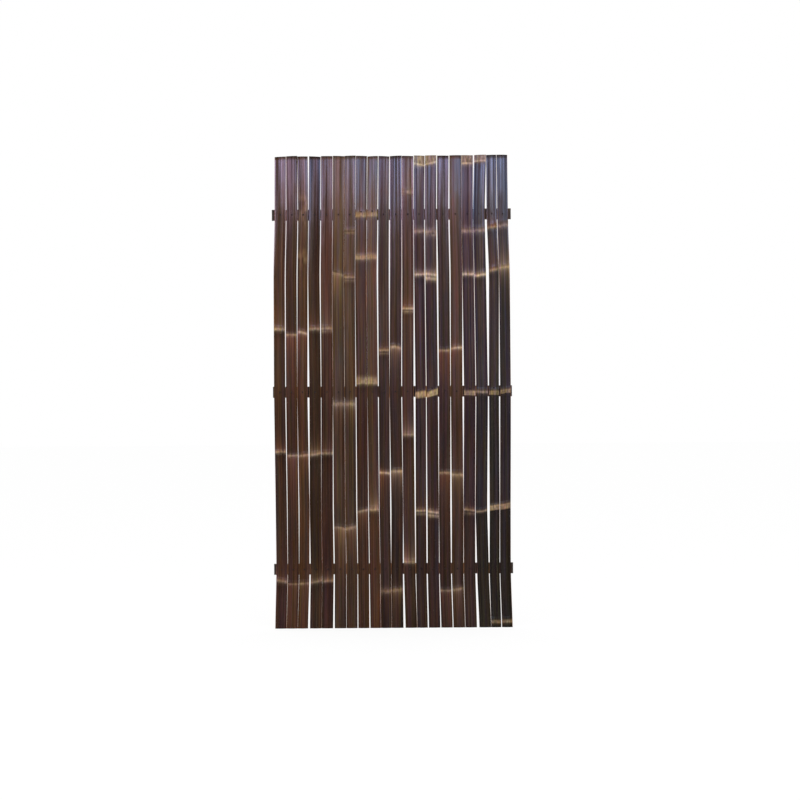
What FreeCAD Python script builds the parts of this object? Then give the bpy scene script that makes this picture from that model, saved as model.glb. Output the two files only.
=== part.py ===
"""Fence panel of split bamboo: upright slats nailed side by side to three cross battens.

Millimetres, +Z up, the skin of the slats facing -Y. The origin is at the middle of the panel's foot,
in the plane where the back edges of the slats bear on the battens.
"""

import FreeCAD
import Part
import Sketcher

import os

# Driving dimensions, each a cell of the sheet under the same name.
SIZES = {
    "panel_height": 1800,
    "slat_width": 42.5,  # mean width across the split edges of a slat
    "batten_width": 42,  # the same, of a batten
    "slat_crown": 3.6,  # rise of the arched skin over its two edges
    "edge_depth": 5.8,  # split edge, front to back
    "edge_undercut": 2.1,  # the edges lean in towards the back, as they point at the culm's axis
    "hollow_depth": 2.4,  # hollow of the pith side, between the back edges
    "node_rise": 1.8,  # ridge of a node above the skin
    "node_length": 20,  # length of the swelling along the culm
    "septum_fill": 0.55,  # share of the hollow that the broken septum still fills at a node
    "gap_least": 0.2,  # slats that stand tight
    "gap_widest": 12,  # widest opening between two slats, over gap_least
    "batten_overhang": 3,  # batten ends past the widest row of slats
    "batten_inset": 225,  # centre lines of the outer battens from the panel's ends
    "nail_head": 5.6,  # side of the square forged head
    "head_thickness": 1.3,
    "nail_shank": 2.6,  # square shank, which the holes fit
    "nail_length": 16,  # under the head
    "nail_clearance": 1,  # from a nail's head to the swelling of a node
}

# One row for each slat, left to right: its width as a share of slat_width, the heights of its nodes as
# shares of the panel, and the gap to its right as a share of gap_widest. The gap is set at the foot, the
# lower batten, a quarter of the height, the middle batten, three quarters, the upper batten and the top.
SLATS = (
    (1.01, (0.101, 0.372, 0.634), (0, 0.06, 0.15, 0.22, 0.2, 0.12, 0.06)),
    (1.00, (0.095, 0.364, 0.620), (0, 0.05, 0.2, 0, 0.22, 0.15, 0)),
    (0.92, (0.096, 0.367, 0.626), (0.6, 0.32, 0, 0.55, 0.1, 0.12, 0.45)),
    (1.04, (0.099, 0.369, 0.634), (0, 0, 0, 0.12, 0.27, 0.16, 0.1)),
    (1.03, (0.101, 0.371, 0.635), (0.5, 0.28, 0.24, 0, 0.02, 0.05, 0.1)),
    (1.04, (0.213, 0.475, 0.750), (0.05, 0.04, 0, 0.03, 0, 0, 0)),
    (0.99, (0.213, 0.475, 0.743, 0.837), (0.22, 0.12, 0.22, 0.16, 0.03, 0.04, 0.05)),
    (1.00, (0.249, 0.522, 0.783, 0.873), (0.28, 0.16, 0.12, 0, 0, 0.08, 0.12)),
    (0.94, (0.253, 0.523, 0.784, 0.874), (0, 0.03, 0.06, 0.22, 0.4, 0.2, 0.15)),
    (0.97, (0.078, 0.329, 0.588), (0, 0.02, 0.34, 0, 0.33, 0.27, 0.14)),
    (1.05, (0.081, 0.332, 0.594), (0.65, 0.28, 0, 0.22, 0.12, 0.04, 0.05)),
    (1.04, (0.140, 0.409, 0.676, 0.921), (0, 0.15, 0.28, 0.54, 0.1, 0.07, 0.18)),
    (0.95, (0.248, 0.497, 0.748, 0.839, 0.985), (0.32, 0.3, 0.32, 0.14, 0.16, 0.15, 0.1)),
    (1.03, (0.245, 0.499, 0.748, 0.834, 0.986), (0.27, 0.12, 0, 0.28, 0.42, 0.2, 0.22)),
    (1.03, (0.079, 0.328, 0.587), (0.2, 0.2, 0.42, 0.1, 0.3, 0.3, 0.22)),
    (1.05, (0.082, 0.327, 0.592), (0.05, 0.08, 0, 0.45, 0, 0, 0.04)),
    (1.04, (0.249, 0.497, 0.748, 0.839, 0.987), (0.75, 0.5, 0.06, 0.16, 0.07, 0.02, 0.4)),
    (1.06, (0.247, 0.500, 0.746, 0.840, 0.988), (0, 0.22, 0.75, 0.3, 0.92, 0.57, 0)),
    (0.90, (0.015, 0.255, 0.499, 0.757, 0.847), (0.2, 0.14, 0.07, 0.34, 0, 0.15, 0.08)),
    (0.96, (0.016, 0.260, 0.502, 0.762, 0.853), ()),
)

# Each batten: the height of its centre line and the places of its nodes as shares of its length.
BATTENS = {
    "lower": ("Sizes.batten_inset", (0.22, 0.73)),
    "middle": ("Sizes.panel_height / 2", (0.11, 0.62)),
    "upper": ("Sizes.panel_height - Sizes.batten_inset", (0.36, 0.86)),
}

# The ends of a line and the axes of a sketch, by their numbers in its constraints.
START, END = 1, 2
X_AXIS, Y_AXIS = -1, -2
ORIGIN = (X_AXIS, START)


def make_sheet(doc):
    """The sheet of driving dimensions, one row each: a name and its value."""
    sheet = doc.addObject("Spreadsheet::Sheet", "Sizes")
    for row, (name, value) in enumerate(SIZES.items(), start=1):
        sheet.set(f"A{row}", name)
        sheet.set(f"B{row}", str(value))
        sheet.setAlias(f"B{row}", name)
    doc.recompute()
    return sheet


def gap_heights():
    """Where the gaps are set, from the foot up: expressions of the heights that share each setting.

    Slats run plumb across a batten, so there one setting holds from its lower edge to its upper one.
    """
    lower, middle, upper = (
        [f"{height} - Sizes.batten_width / 2", f"{height} + Sizes.batten_width / 2"]
        for height, _ in BATTENS.values()
    )
    quarter, three_quarters = ["Sizes.panel_height / 4"], ["Sizes.panel_height * 3 / 4"]
    return [["0"], lower, quarter, middle, three_quarters, upper, ["Sizes.panel_height"]]


def row_centres(setting):
    """Centres of the slats across the panel at one setting of the gaps, and the width of that row.

    Each is three multipliers, of slat_width, gap_widest and gap_least. Slats and gaps follow each
    other from the left, and the row is centred on the origin.
    """
    centres = []
    width, gap, count = 0, 0, 0
    for share, _, gaps in SLATS:
        centres.append((width + share / 2, gap, count))
        width += share
        if gaps:
            gap += gaps[setting]
            count += 1
    row_width = (width, gap, count)
    return [tuple(c - w / 2 for c, w in zip(centre, row_width)) for centre in centres], row_width


def length_words(multipliers):
    """An expression for a length made of slats and gaps."""
    names = ("slat_width", "gap_widest", "gap_least")
    return " + ".join(f"Sizes.{name} * ({m:.5f})" for name, m in zip(names, multipliers))


def centre_at(rungs, slat, height):
    """Multipliers of a slat's centre at a height: straight from rung to rung, (height, row of centres)."""
    above = next(k for k, (level, _) in enumerate(rungs) if k and height <= level)
    (low, row_below), (high, row_above) = rungs[above - 1 : above + 1]
    part = (height - low) / (high - low)
    return tuple(a + (b - a) * part for a, b in zip(row_below[slat], row_above[slat]))


def section_levels(sheet, heights, nodes, length):
    """Where a strip has its cross sections: (level, expression of the level, on a ridge or not).

    They are at the heights, which are expressions and include both ends, and three on each node, at the
    ends of its swelling and on its ridge. A height on a swelling needs none, unless it is an end.
    """
    length_now = sheet.evalExpression(length)
    levels = []
    for height in heights:
        level = sheet.evalExpression(height)
        on_swelling = any(abs(level - node * length_now) < sheet.node_length for node in nodes)
        if level in (0, length_now) or not on_swelling:
            levels.append((level, height, False))
    for node in nodes:
        for side in (-0.5, 0, 0.5):
            level = node * length_now + side * sheet.node_length
            levels.append((level, f"({length}) * {node} + Sizes.node_length * ({side})", side == 0))
    return sorted(levels)


def new_sketch(body, role, name):
    """An empty sketch on one of the body's own origin planes."""
    sketch = body.newObject("Sketcher::SketchObject", name)
    origin_plane = next(feature for feature in body.Origin.OriginFeatures if feature.Role == role)
    sketch.AttachmentSupport = (origin_plane, [""])
    sketch.MapMode = "FlatFace"
    return sketch


def constrain(sketch, relations, dimensions):
    """Adds relations to a sketch, and dimensions: (name, constraint, the expression that drives it)."""
    indexes = sketch.addConstraint(relations + [constraint for _, constraint, _ in dimensions])
    for index, (name, _, words) in zip(indexes[len(relations) :], dimensions):
        sketch.renameConstraint(index, name)
        sketch.setExpression(f"Constraints.{name}", words)


def draw_section(sketch, width, on_ridge):
    """Cross section of a split strip: arched skin, two split edges and the hollow pith side."""
    front_half = f"({width}) / 2"
    back_half = f"({width}) / 2 - Sizes.edge_undercut"
    edge = "Sizes.edge_depth + Sizes.node_rise" if on_ridge else "Sizes.edge_depth"
    hollow = "Sizes.hollow_depth * (1 - Sizes.septum_fill)" if on_ridge else "Sizes.hollow_depth"

    def point(side, x_words, depth_words):
        x, depth = sketch.evalExpression(x_words), sketch.evalExpression(depth_words)
        return FreeCAD.Vector(side * x, -depth, 0)

    front_left, front_right = (point(side, front_half, edge) for side in (-1, 1))
    back_left, back_right = (point(side, back_half, "0") for side in (-1, 1))
    skin, right_edge, pith_side, left_edge = sketch.addGeometry(
        [
            Part.Arc(front_left, point(0, "0", f"{edge} + Sizes.slat_crown"), front_right),
            Part.LineSegment(front_right, back_right),
            Part.Arc(back_left, point(0, "0", hollow), back_right),
            Part.LineSegment(back_left, front_left),
        ],
        False,
    )
    make = Sketcher.Constraint
    relations = [
        make("Coincident", skin, END, right_edge, START),
        make("Coincident", right_edge, END, pith_side, END),
        make("Coincident", pith_side, START, left_edge, START),
        make("Coincident", left_edge, END, skin, START),
        make("Symmetric", left_edge, END, right_edge, START, Y_AXIS),
        make("Symmetric", left_edge, START, right_edge, END, Y_AXIS),
        make("PointOnObject", right_edge, END, X_AXIS),
    ]
    dimensions = [
        ("front_half", make("DistanceX", *ORIGIN, right_edge, START, front_right.x), front_half),
        ("back_half", make("DistanceX", *ORIGIN, right_edge, END, back_right.x), back_half),
        ("edge", make("DistanceY", right_edge, START, *ORIGIN, -front_right.y), edge),
    ]
    for name, arc, half_chord, rise in (
        ("skin_radius", skin, front_half, "Sizes.slat_crown"),
        ("pith_radius", pith_side, back_half, hollow),
    ):
        radius = f"(({half_chord})^2 + ({rise})^2) / (2 * {rise})"
        dimensions.append((name, make("Radius", arc, sketch.evalExpression(radius)), radius))
    constrain(sketch, relations, dimensions)


def draw_holes(sketch, places):
    """A square of the nail's shank at each place, which is two expressions: across and up."""
    side = sketch.evalExpression("Sizes.nail_shank")
    make = Sketcher.Constraint
    relations, dimensions = [], []
    for number, (across, up) in enumerate(places):
        left, foot = (f"{words} - Sizes.nail_shank / 2" for words in (across, up))
        corner = FreeCAD.Vector(sketch.evalExpression(left), sketch.evalExpression(foot), 0)
        corners = [corner + FreeCAD.Vector(x, y, 0) * side for x, y in ((0, 0), (1, 0), (1, 1), (0, 1))]
        lines = sketch.addGeometry([Part.LineSegment(corners[k - 1], corners[k]) for k in range(4)], False)
        west, south, east, north = lines
        relations += [make("Coincident", lines[k - 1], END, lines[k], START) for k in range(4)]
        relations += [make("Horizontal", south), make("Horizontal", north)]
        relations += [make("Vertical", east), make("Vertical", west)]
        dimensions += [
            (f"left_{number}", make("DistanceX", *ORIGIN, south, START, corner.x), left),
            (f"foot_{number}", make("DistanceY", *ORIGIN, south, START, corner.y), foot),
            (f"width_{number}", make("DistanceX", south, START, south, END, side), "Sizes.nail_shank"),
            (f"height_{number}", make("DistanceY", east, START, east, END, side), "Sizes.nail_shank"),
        ]
    constrain(sketch, relations, dimensions)


def make_strip(doc, name, width, levels, shifts, holes, hole_depth):
    """A strip of split bamboo along Z, skin to -Y: a loft through its sections, with nail holes.

    shifts are the expressions of each section's place across, holes those of each hole's place across
    and up, and hole_depth that of the holes from the back edges, or None where they go right through.
    """
    body = doc.addObject("PartDesign::Body", name)
    body.Label = name
    sections = []
    for (_, level, on_ridge), shift in zip(levels, shifts):
        sketch = new_sketch(body, "XY_Plane", f"{name}_section")
        draw_section(sketch, width, on_ridge)
        sketch.setExpression("AttachmentOffset.Base.x", shift)
        sketch.setExpression("AttachmentOffset.Base.z", level)
        sections.append(sketch)
    strip = body.newObject("PartDesign::AdditiveLoft", f"{name}_strip")
    strip.Profile = sections[0]
    strip.Sections = sections[1:]
    strip.Ruled = True
    squares = new_sketch(body, "XZ_Plane", f"{name}_hole_places")
    draw_holes(squares, holes)
    doc.recompute()
    pocket = body.newObject("PartDesign::Pocket", f"{name}_holes")
    pocket.Profile = squares
    pocket.Reversed = True
    if hole_depth is None:
        pocket.Type = "ThroughAll"
    else:
        pocket.Type = "Length"
        pocket.setExpression("Length", hole_depth)
    body.Tip = pocket
    return body


def nail_height(sheet, nodes, batten_height):
    """Expression of a nail's height: the batten's centre line, or beside the node that lies there."""
    clear = "(Sizes.node_length + Sizes.nail_head) / 2 + Sizes.nail_clearance"
    height_now = sheet.evalExpression(batten_height)
    for node in nodes:
        below = height_now - node * sheet.panel_height
        if abs(below) < sheet.evalExpression(clear):
            sign = "-" if below <= 0 else "+"
            return f"Sizes.panel_height * {node} {sign} ({clear})"
    return batten_height


def make_nail(doc, name, across, up):
    """A forged nail, driven until its square head sits on the crown of a slat."""
    seat = "-(Sizes.edge_depth + Sizes.slat_crown)"
    head = doc.addObject("Part::Box", f"{name}_head")
    shank = doc.addObject("Part::Box", f"{name}_shank")
    for piece, side, depth, front in (
        (head, "Sizes.nail_head", "Sizes.head_thickness", f"{seat} - Sizes.head_thickness"),
        (shank, "Sizes.nail_shank", "Sizes.nail_length", seat),
    ):
        piece.setExpression("Length", side)
        piece.setExpression("Width", depth)
        piece.setExpression("Height", side)
        piece.setExpression("Placement.Base.x", f"{across} - {side} / 2")
        piece.setExpression("Placement.Base.y", front)
        piece.setExpression("Placement.Base.z", f"{up} - {side} / 2")
    nail = doc.addObject("Part::Fuse", name)
    nail.Base = head
    nail.Tool = shank
    return nail


def minus(a, b):
    return tuple(x - y for x, y in zip(a, b))


def make_slats(doc, sheet, rungs, nails):
    """The upright slats. Each is placed by the centre of its foot and sways from there."""
    heights = [height for setting in gap_heights() for height in setting]
    slats = []
    for slat, (share, nodes, _) in enumerate(SLATS):
        name, width = f"slat_{slat + 1:02d}", f"Sizes.slat_width * {share}"
        foot = centre_at(rungs, slat, 0)
        levels = section_levels(sheet, heights, nodes, "Sizes.panel_height")
        shifts = [length_words(minus(centre_at(rungs, slat, level), foot)) for level, _, _ in levels]
        own_nails = [places[slat] for places in nails.values()]
        holes = [(length_words(minus(across, foot)), up) for across, up in own_nails]
        body = make_strip(doc, name, width, levels, shifts, holes, None)
        body.setExpression("Placement.Base.x", length_words(foot))
        slats.append(body)
    return slats


def make_battens(doc, sheet, row_width, nails):
    """The cross battens: strips laid along X behind the slats, skin to the back."""
    length = f"{length_words(row_width)} + 2 * Sizes.batten_overhang"
    nail_reach = "Sizes.nail_length - Sizes.edge_depth - Sizes.slat_crown"
    battens = []
    for name, (height, nodes) in BATTENS.items():
        levels = section_levels(sheet, ("0", length), nodes, length)
        shifts = ["0"] * len(levels)
        holes = [
            (f"{up} - ({height})", f"{length_words(across)} + ({length}) / 2") for across, up in nails[name]
        ]
        body = make_strip(doc, f"{name}_batten", "Sizes.batten_width", levels, shifts, holes, nail_reach)
        body.Placement.Rotation = FreeCAD.Rotation(FreeCAD.Vector(1, 0, 1), 180)
        body.setExpression("Placement.Base.x", f"-({length}) / 2")
        body.setExpression("Placement.Base.z", height)
        battens.append(body)
    return battens


def make_nail_groups(doc, nails):
    """One group of nails for each batten."""
    groups = []
    for name, places in nails.items():
        group = doc.addObject("Part::Compound", f"{name}_nails")
        group.Label = f"{name}_nails"
        group.Links = [
            make_nail(doc, f"{name}_nail_{number:02d}", length_words(across), up)
            for number, (across, up) in enumerate(places, start=1)
        ]
        groups.append(group)
    return groups


def check(doc, nodes):
    """Stops if anything in the document failed, or a sub-part has no valid solid."""
    failed = [thing.Name for thing in doc.Objects if {"Invalid", "Error"} & set(thing.State)]
    failed += [node.Label for node in nodes if node.Shape.isNull() or not node.Shape.isValid()]
    failed += [node.Label for node in nodes if not node.Shape.Solids]
    if failed:
        raise RuntimeError(f"failed: {failed}")


def main():
    doc = FreeCAD.newDocument("bamboo_fence_panel")
    sheet = make_sheet(doc)
    rungs, row_widths = [], []
    for setting, heights in enumerate(gap_heights()):
        centres, row_width = row_centres(setting)
        rungs += [(sheet.evalExpression(height), centres) for height in heights]
        row_widths.append(row_width)
    nails = {}
    for name, (height, _) in BATTENS.items():
        level = sheet.evalExpression(height)
        nails[name] = [
            (centre_at(rungs, slat, level), nail_height(sheet, nodes, height))
            for slat, (_, nodes, _) in enumerate(SLATS)
        ]
    nodes = make_slats(doc, sheet, sorted(rungs, key=lambda rung: rung[0]), nails)
    nodes += make_battens(doc, sheet, max(row_widths, key=lambda width: width[1]), nails)
    nodes += make_nail_groups(doc, nails)
    doc.recompute()
    check(doc, nodes)
    os.makedirs("parts", exist_ok=True)
    for node in nodes:
        node.Shape.exportStep(f"parts/{node.Label}.step")


main()
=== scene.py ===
"""Fence panel of dark split bamboo: slats, battens and nails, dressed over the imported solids.

Metres, +Z up. The skin of the slats faces -Y, where the camera stands.
"""

import math
from typing import NamedTuple

import bpy
import numpy as np
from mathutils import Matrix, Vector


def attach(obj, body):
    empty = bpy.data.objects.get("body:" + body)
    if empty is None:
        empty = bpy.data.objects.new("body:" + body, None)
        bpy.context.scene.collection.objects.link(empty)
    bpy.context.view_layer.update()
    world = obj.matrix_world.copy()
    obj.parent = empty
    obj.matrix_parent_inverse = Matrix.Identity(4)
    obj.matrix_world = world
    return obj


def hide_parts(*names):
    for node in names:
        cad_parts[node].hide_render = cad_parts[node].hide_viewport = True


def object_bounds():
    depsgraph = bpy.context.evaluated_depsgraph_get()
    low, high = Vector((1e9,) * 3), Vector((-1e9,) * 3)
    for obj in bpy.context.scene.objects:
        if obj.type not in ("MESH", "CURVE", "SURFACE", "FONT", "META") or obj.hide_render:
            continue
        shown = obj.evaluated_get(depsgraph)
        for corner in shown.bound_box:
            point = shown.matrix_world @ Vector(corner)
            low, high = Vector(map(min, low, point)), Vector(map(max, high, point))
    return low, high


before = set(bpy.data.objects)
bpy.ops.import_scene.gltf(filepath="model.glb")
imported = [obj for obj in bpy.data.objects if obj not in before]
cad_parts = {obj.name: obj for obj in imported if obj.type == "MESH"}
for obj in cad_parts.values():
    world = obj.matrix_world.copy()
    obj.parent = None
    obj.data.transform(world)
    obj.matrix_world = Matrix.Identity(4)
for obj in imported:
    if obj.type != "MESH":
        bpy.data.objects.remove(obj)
cad_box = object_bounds()

MM = 0.001
NOISE_CELLS = 64


# Helpers


def linear(colour):
    """Linear light of a colour written as it is seen, out of 255."""
    share = np.asarray(colour, float) / 255
    return np.where(share <= 0.04045, share / 12.92, ((share + 0.055) / 1.055) ** 2.4)


def opaque(colour):
    return (*linear(colour), 1)


def noise(seed, across, along):
    """Smooth noise from -1 to 1 on a seeded lattice of one-unit cells."""
    lattice = np.random.default_rng(seed).uniform(-1, 1, (NOISE_CELLS, NOISE_CELLS))
    column = np.floor(across).astype(int)
    row = np.floor(along).astype(int)
    right, up = (share * share * (3 - 2 * share) for share in (across - column, along - row))

    def corner(step_right, step_up):
        return lattice[(column + step_right) % NOISE_CELLS, (row + step_up) % NOISE_CELLS]

    low = corner(0, 0) * (1 - right) + corner(1, 0) * right
    high = corner(0, 1) * (1 - right) + corner(1, 1) * right
    return low * (1 - up) + high * up


class Grain(NamedTuple):
    """A noise over a strip, about its mean by its spread.

    step is added to the strip's seed, cells is how many lie across half the width, start where they begin,
    length how long each is, and begin where the first one is along the strip.
    """

    step: int
    cells: float
    start: float
    length: float
    begin: float = 0
    mean: float = 0
    spread: float = 1

    def over(self, seed, share, along, shift=0):
        across = share * self.cells + self.start + shift
        return self.mean + self.spread * noise(seed + self.step, across, along / self.length + self.begin)


def bump(distance, width):
    return np.exp(-((distance / width) ** 2))


def arc(share, half, rise):
    """Height of an arc over its chord at a share of the half chord."""
    radius = (half**2 + rise**2) / (2 * rise)
    return np.sqrt(radius**2 - (half * share) ** 2) - (radius - rise)


# Strips as the solids have them

# Vertices this close along a strip are of one section, and points this close in one plane.
SAME_LEVEL = 0.02 * MM
SECTION_REACH = 3 * SAME_LEVEL
SAME_PLANE = 0.01 * MM
# The least shares of the full width and of the foot's depth in a whole section.
WHOLE_WIDTH = 0.8
WHOLE_DEPTH = 0.95
# The hollow lies at less than this share of the split edges' height.
HOLLOW_SHARE = 0.9
# A section with more than this share of the largest rise is a node.
NODE_SHARE = 0.5
# Spacing of the mesh's sections, the finer one at a node, and how bends are smoothed.
SECTION_STEP = 8 * MM
NODE_STEP = 0.9 * MM
NODE_REACH = 14 * MM
BEND_SMOOTHING = 60 * MM
BEND_SAMPLES = 13
BEND_TAPER = 0.9


class Strip:
    """A strip of split bamboo as the solids have it: its sections along it, and the nodes among them.

    Its own axes are across, depth (from the back edges to the skin) and along.
    """

    def __init__(self, node, axes, skin_sign):
        points = np.array([vertex.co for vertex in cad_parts[node].data.vertices])
        across, along = points[:, axes[0]], points[:, axes[1]]
        depth = points[:, 1] * skin_sign
        order = np.sort(along)
        levels = order[np.diff(order, prepend=-np.inf) > SAME_LEVEL]
        rows = [np.abs(along - level) < SECTION_REACH for level in levels]
        spans = np.array([np.ptp(across[row]) for row in rows])
        fronts = np.array([depth[row].max() for row in rows])
        whole = (spans > WHOLE_WIDTH * spans.max()) & (fronts > WHOLE_DEPTH * fronts[0])
        kept = np.flatnonzero(whole)
        fronts = fronts[kept]
        self.node, self.axes, self.skin_sign = node, axes, skin_sign
        self.upright = axes[1] == 2
        self.levels = levels[kept]
        self.centres = np.array([(across[rows[k]].max() + across[rows[k]].min()) / 2 for k in kept])
        foot = rows[kept[0]]
        self.half = spans[kept[0]] / 2
        outer = across[foot] > across[foot].max() - SAME_PLANE
        back = depth[foot] < SAME_PLANE
        self.edge = depth[foot][outer].max()
        self.back_half = np.ptp(across[foot][back]) / 2
        inner = (depth[foot] < HOLLOW_SHARE * self.edge) & ~back
        self.hollow = depth[foot][inner].max()
        self.crown = fronts.min() - self.edge
        self.node_rise = fronts.max() - fronts.min()
        self.nodes = self.levels[fronts > fronts.min() + NODE_SHARE * self.node_rise]
        self.start, self.end = self.levels[0], self.levels[-1]

    def centre(self, along):
        """Where the strip's middle runs, with its bends smoothed."""
        offsets = np.linspace(-1, 1, BEND_SAMPLES)
        weights = 1 - offsets**2 * BEND_TAPER
        smoothed = [
            weight * np.interp(along + offset * BEND_SMOOTHING, self.levels, self.centres)
            for offset, weight in zip(offsets, weights)
        ]
        return np.sum(smoothed, axis=0) / weights.sum()

    def sections(self):
        """Places along the strip for the mesh's sections, closer together at the nodes."""
        count = round((self.end - self.start) / SECTION_STEP)
        places = list(np.linspace(self.start, self.end, count + 1))
        near = np.arange(-NODE_REACH, NODE_REACH, NODE_STEP)

        def stays(place, node):
            return abs(place - node) > NODE_REACH or place in (self.start, self.end)

        for node in self.nodes:
            places = [place for place in places if stays(place, node)]
            places += [node + step for step in near if self.start < node + step < self.end]
        return np.array(sorted(places))

    def world(self, across, depth, along):
        """Points of the row frame from the strip's own axes."""
        points = np.zeros(across.shape + (3,))
        points[..., self.axes[0]] = across
        points[..., self.axes[1]] = along
        points[..., 1] = depth * self.skin_sign
        return points


# Colours as they are seen, red, green and blue out of 255

STAINS = {
    "chestnut": (75, 54, 41), "walnut": (60, 45, 36), "honey": (77, 60, 46), "sepia": (53, 40, 31),
    "olive_brown": (81, 66, 53), "russet": (80, 61, 54), "fawn": (87, 69, 60), "grey_brown": (69, 56, 53),
    "plum": (69, 57, 60), "slate": (65, 57, 60), "umber": (51, 36, 30), "bark": (57, 39, 29),
    "cinnamon": (67, 47, 34), "olive": (60, 46, 36), "black_brown": (47, 35, 29), "red_brown": (56, 42, 35),
    "aubergine": (45, 33, 28), "brown": (49, 37, 32), "green_black": (33, 30, 24),
}
RING_TINTS = {
    "tan": (162, 141, 114), "pale": (194, 172, 148), "rose": (149, 130, 124), "gold": (161, 139, 103),
    "grey": (145, 128, 108), "bone": (186, 169, 147),
}
GLOWS = {
    "brown": (109, 80, 60), "red": (111, 75, 60), "gold": (135, 109, 79), "olive": (106, 87, 66),
    "tan": (144, 117, 97), "rust": (128, 74, 54), "grey": (114, 96, 86),
}
# Pale wood where the skin broke at the split edges, and flecks where the varnish came off.
BARE_EDGE = (158, 116, 84)
FLECK = (132, 112, 92)
# The bare inside of slats and battens, paler and browner, and the sawn ends.
SLAT_PITH = ((150, 122, 86), (118, 90, 60))
BATTEN_PITH = ((66, 50, 38), (48, 36, 28))
END_GROUND = ((104, 80, 56), (72, 54, 39))
END_BUNDLES = (46, 33, 25)
IRON = (44, 40, 38)
RUST = (88, 48, 30)


# Node rings


class RingStyle(NamedTuple):
    """How a node ring is coloured, with lengths in mm."""

    # How strong its pale line is, how wide, and how high over it a second one lies and how strong that is.
    line: float = 0.85
    width: float = 3.2
    tint: str = "tan"
    echo: float = 0
    second: float = 0.6
    # A pale band: its height and strength, its reach below the line, and the share that fades upwards.
    band: float = 0
    fill: float = 0.8
    hang: float = 0
    soft: float = 0.75
    # How far the skin glows, and how much darker it is below a ring with no glow there.
    above: float = 0
    below: float = 0
    glow: str = "brown"
    shade: float = 0.3


STYLES = {
    "tan": RingStyle(),
    "thin": RingStyle(0.66, 2.4, shade=0.15),
    "faint": RingStyle(0.42, 2.6, below=40, shade=0),
    "dim": RingStyle(0.5, 6, above=12, shade=0.1),
    "grey_line": RingStyle(0.9, 3.4, tint="grey"),
    "bright": RingStyle(0.95, 3.4, tint="pale", above=16, glow="tan"),
    "soft": RingStyle(0.72, 5, tint="rose", above=16, glow="grey", shade=0.1),
    "thin_red_above": RingStyle(0.66, 3.6, above=44, glow="red"),
    "red_above": RingStyle(0.8, 4, above=60, glow="red"),
    "rust_above": RingStyle(0.75, 3.6, above=26, glow="rust"),
    "brown_above": RingStyle(width=4, above=105, shade=0.5),
    "gold_above": RingStyle(0.7, 4, above=34, glow="gold"),
    "tan_above": RingStyle(0.62, 4, above=50, glow="tan", shade=0.2),
    "fawn_above": RingStyle(0.8, 7, tint="rose", above=150, glow="grey", shade=0.1),
    "olive_above": RingStyle(0.66, 4, echo=-10, second=0.5, above=90, glow="olive"),
    "red_below": RingStyle(0.66, below=120, glow="red"),
    "bright_below": RingStyle(0.78, tint="pale", above=14, below=100, glow="red", shade=0),
    "brown_below": RingStyle(0.75, 3.4, below=80),
    "olive_below": RingStyle(0.66, 4.5, below=95, glow="olive"),
    "soft_below": RingStyle(0.62, 6, below=70, glow="olive"),
    "haze_below": RingStyle(0.45, 4.5, below=110, glow="gold"),
    "tan_below": RingStyle(width=4.2, below=58, glow="tan"),
    "tan_both": RingStyle(0.8, 4, above=70, below=48, glow="tan"),
    "pale": RingStyle(0.78, 3, tint="pale", echo=-11, second=0.4, above=40, glow="red"),
    "double": RingStyle(0.62, 3, echo=-12, second=0.5, above=18),
    "faint_double": RingStyle(0.34, 3, echo=12, shade=0.1),
    "tan_double": RingStyle(0.58, 3, tint="bone", echo=-11, second=0.4, above=18),
    "pale_double": RingStyle(0.82, 3.4, tint="bone", echo=-13, second=0.7, above=18),
    "bright_double": RingStyle(0.88, 4.4, tint="pale", echo=-15, second=1.0, above=22, glow="tan"),
    "soft_double": RingStyle(0.6, 6, tint="rose", echo=-9, second=0.8, above=22, glow="grey", shade=0.1),
    "band": RingStyle(0.76, 4, band=18, above=48, shade=0.15),
    "gold_band": RingStyle(0.9, tint="gold", band=30, above=16, glow="gold", shade=0.35),
    "gold_hung": RingStyle(
        1.0, tint="gold", band=22, fill=0.95, hang=10, soft=0.35, above=8, glow="gold", shade=0.2,
    ),
    "grey_hung": RingStyle(
        1.0, tint="grey", band=18, fill=0.95, hang=8, soft=0.35, above=10, glow="olive", shade=0.2,
    ),
    "gold_fading": RingStyle(0.95, tint="gold", band=20, fill=0.72, hang=14, soft=0.3, shade=0.1),
    "dim_hung": RingStyle(0.62, tint="gold", band=16, hang=10, soft=0.6, shade=0.1),
    "foot_band": RingStyle(0.9, tint="gold", band=12, hang=4, soft=0.4, shade=0.1),
    "end_band": RingStyle(0.9, 3.6, tint="bone", band=170, fill=0.5, shade=0.15),
}


class Ring(NamedTuple):
    """A ring: its style, and how far it rises to the right, arches and is painted below its node (mm)."""

    style: str
    slant: float = 0
    arch: float = 0
    drop: float = 0


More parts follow.
